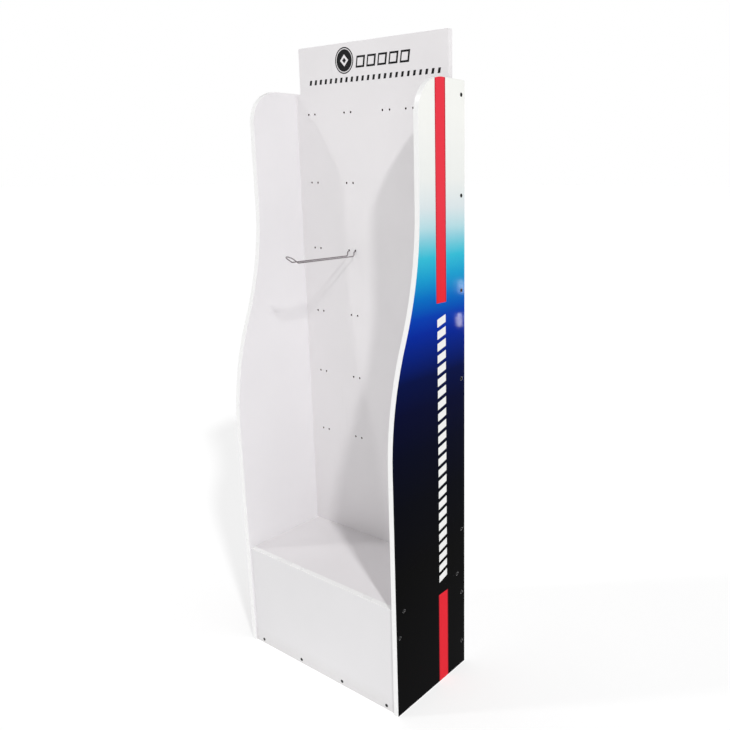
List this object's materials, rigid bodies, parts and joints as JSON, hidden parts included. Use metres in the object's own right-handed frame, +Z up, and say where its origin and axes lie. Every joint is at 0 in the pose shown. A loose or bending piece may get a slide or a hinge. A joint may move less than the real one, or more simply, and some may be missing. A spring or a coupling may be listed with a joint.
{
  "type": "pegboard display stand",
  "caption": "Free-standing white board display with curved side panels, raised header, drilled back panel, a chrome wire hook and a deck on a closed base box.",
  "frame": {"origin": "middle of the footprint on the floor", "axes": "+X to the right of someone facing the stand, -Y to the front, +Z up"},
  "size_m": [0.6006, 0.3, 1.755],
  "materials": {
    "white_board": "white laminate on both faces, satin",
    "back_board": "white laminate, satin",
    "kick_board": "white laminate, satin",
    "deck_board": "white laminate, satin",
    "base_board": "white laminate, satin",
    "edge_tape": "white edge strip, semi-gloss",
    "left_print": "glossy printed film, white at the top through cyan and blue to near-black",
    "right_print": "glossy printed film, white at the top through cyan and blue to near-black",
    "dark_screw": "blackened steel, shiny",
    "black_vinyl": "cut black vinyl",
    "hook_wire": "bright chrome plate"
  },
  "bodies": {
    "stand": {"left_side_panel": "white_board", "left_edge_band": "edge_tape", "left_side_film": "left_print", "left_rear_screws": "dark_screw", "left_deck_screws": "dark_screw", "left_kick_screw": "dark_screw", "right_side_panel": "white_board", "right_edge_band": "edge_tape", "right_side_film": "right_print", "right_rear_screws": "dark_screw", "right_deck_screws": "dark_screw", "right_kick_screw": "dark_screw", "back_panel": "back_board", "kick_panel": "kick_board", "base_board": "base_board", "deck": "deck_board", "kick_edge_band": "edge_tape", "base_front_screws": "dark_screw", "base_rear_screws": "dark_screw", "rear_deck_screws": "dark_screw", "header_emblem": "black_vinyl", "header_bars": "black_vinyl"},
    "hook": {"double_hook": "hook_wire"}
  },
  "joints": [
    {"name": "hook_pull", "type": "slide", "parent": "stand", "child": "hook", "axis": [0, -1, 0], "range_m": [0, 0.04]}
  ]
}
